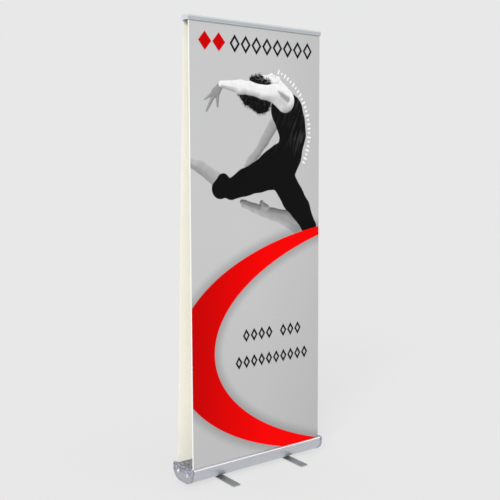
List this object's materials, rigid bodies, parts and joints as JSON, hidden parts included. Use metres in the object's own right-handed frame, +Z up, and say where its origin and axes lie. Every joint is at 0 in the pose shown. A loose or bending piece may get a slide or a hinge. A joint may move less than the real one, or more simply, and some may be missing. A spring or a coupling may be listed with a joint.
{
  "type": "roll-up banner stand",
  "caption": "Double-sided roll-up banner stand: sprung rollers in a wide aluminium cassette, two tall printed films meeting at a top rail, telescopic pole and swivel feet.",
  "frame": {"origin": "floor level, under the middle of the cassette", "axes": "+X along the cassette to the right as seen from the front, +Y from the front banner to the rear one, +Z up"},
  "size_m": [0.83, 0.344, 2.214],
  "materials": {
    "aluminium": "satin anodised extrusion with fine lengthwise die lines",
    "foot_aluminium": "matt anodised flat bar",
    "cap_plastic": "silver-grey moulded plastic",
    "black_plastic": "moulded black plastic",
    "nylon": "plain white nylon",
    "film_print": "printed banner film, satin lamination, cream-white back",
    "film_blank": "unprinted banner film",
    "zinc_steel": "zinc-plated fasteners",
    "spring_steel": "drawn steel",
    "chrome": "polished plating",
    "rubber": "matt black rubber",
    "felt": "dense black felt"
  },
  "bodies": {
    "base": {"cassette_profile": "aluminium", "left_end_cap": "cap_plastic", "right_end_cap": "cap_plastic", "end_cap_screws": "zinc_steel", "axle_discs": "chrome", "front_slot_felt": "felt", "rear_slot_felt": "felt", "front_idler_pin": "spring_steel", "rear_idler_pin": "spring_steel", "front_spring_axle": "spring_steel", "rear_spring_axle": "spring_steel", "front_torsion_spring": "spring_steel", "rear_torsion_spring": "spring_steel", "front_leader": "film_blank", "rear_leader": "film_blank", "front_banner": "film_print", "rear_banner": "film_print", "pole_socket": "black_plastic", "pole_lower": "aluminium", "foot_plates": "cap_plastic", "plate_rivets": "zinc_steel", "foot_pivot_bolts": "spring_steel", "foot_pivot_nuts": "zinc_steel", "foot_washers": "nylon"},
    "front_roller": {"front_roller_tube": "aluminium", "front_film_wrap": "film_blank", "front_idler_plug": "black_plastic", "front_spring_plug": "black_plastic", "front_anchor_plug": "black_plastic"},
    "rear_roller": {"rear_roller_tube": "aluminium", "rear_film_wrap": "film_blank", "rear_idler_plug": "black_plastic", "rear_spring_plug": "black_plastic", "rear_anchor_plug": "black_plastic"},
    "pole_middle_section": {"pole_middle": "aluminium", "middle_guide_bush": "black_plastic"},
    "raised_rail": {"pole_upper": "aluminium", "upper_guide_bush": "black_plastic", "pole_head": "black_plastic", "rail_bracket": "black_plastic", "top_rail": "aluminium", "left_rail_cap": "cap_plastic", "right_rail_cap": "cap_plastic", "rail_cap_screws": "zinc_steel", "front_gripper": "black_plastic", "rear_gripper": "black_plastic"},
    "lower_collar": {"lower_collar": "black_plastic"},
    "upper_collar": {"upper_collar": "black_plastic"},
    "left_foot": {"left_foot": "foot_aluminium", "left_foot_pads": "rubber"},
    "right_foot": {"right_foot": "foot_aluminium", "right_foot_pads": "rubber"}
  },
  "joints": [
    {"name": "banner_extension", "type": "slide", "parent": "base", "child": "raised_rail", "axis": [0, 0, 1], "range_m": [-1.28, 0], "deforming": ["front_banner", "rear_banner"]},
    {"name": "pole_middle_slide", "type": "slide", "parent": "base", "child": "pole_middle_section", "axis": [0, 0, 1], "range_m": [-0.64, 0]},
    {"name": "front_roller_spin", "type": "hinge", "parent": "base", "child": "front_roller", "pos_m": [0, -0.04, 0.06], "axis": [1, 0, 0], "range_deg": [0, 3961]},
    {"name": "rear_roller_spin", "type": "hinge", "parent": "base", "child": "rear_roller", "pos_m": [0, 0.04, 0.06], "axis": [1, 0, 0], "range_deg": [-3961, 0]},
    {"name": "lower_collar_twist", "type": "hinge", "parent": "base", "child": "lower_collar", "pos_m": [0, 0, 0.783], "axis": [0, 0, 1], "range_deg": [0, 90]},
    {"name": "upper_collar_twist", "type": "hinge", "parent": "pole_middle_section", "child": "upper_collar", "pos_m": [0, 0, 1.483], "axis": [0, 0, 1], "range_deg": [0, 90]},
    {"name": "left_foot_swivel", "type": "hinge", "parent": "base", "child": "left_foot", "pos_m": [-0.215, 0, 0.007], "axis": [0, 0, 1], "range_deg": [0, 90]},
    {"name": "right_foot_swivel", "type": "hinge", "parent": "base", "child": "right_foot", "pos_m": [0.215, 0, 0.007], "axis": [0, 0, 1], "range_deg": [-90, 0]}
  ],
  "couplings": [
    {"joint": "pole_middle_slide", "follows": "banner_extension", "ratio": 0.5},
    {"joint": "front_roller_spin", "follows": "banner_extension", "rad_per_m": -54},
    {"joint": "rear_roller_spin", "follows": "banner_extension", "rad_per_m": 54}
  ]
}
